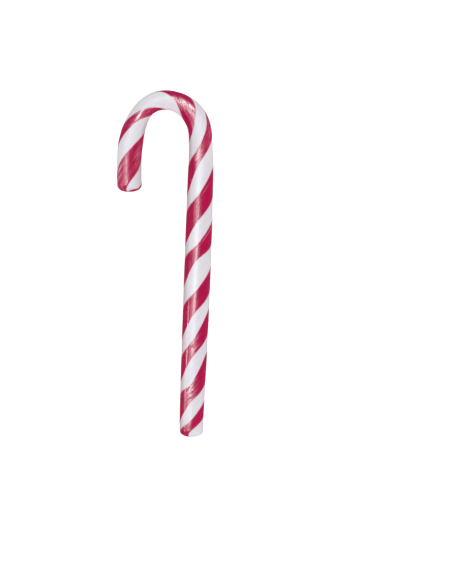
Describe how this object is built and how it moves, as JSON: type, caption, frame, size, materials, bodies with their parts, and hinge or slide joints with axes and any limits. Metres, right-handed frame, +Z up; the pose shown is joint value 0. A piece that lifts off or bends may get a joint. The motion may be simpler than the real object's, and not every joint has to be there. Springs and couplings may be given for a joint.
{
  "type": "candy cane",
  "caption": "Hard sugar stick bent over into a crook, white with slanting red stripes that wind round it and blunt rounded ends.",
  "frame": {"origin": "under the middle of the cane's box, on the surface that it lies on", "axes": "+Y from the foot of the straight shaft towards the crook, +X from the crook's free end towards the shaft, +Z up from the surface to the shown side"},
  "size_m": [0.0418, 0.1504, 0.0113],
  "materials": {
    "candy": "glossy white boiled sugar with crimson stripes wound round it"
  },
  "bodies": {
    "root": {"candy_cane": "candy"}
  },
  "joints": []
}
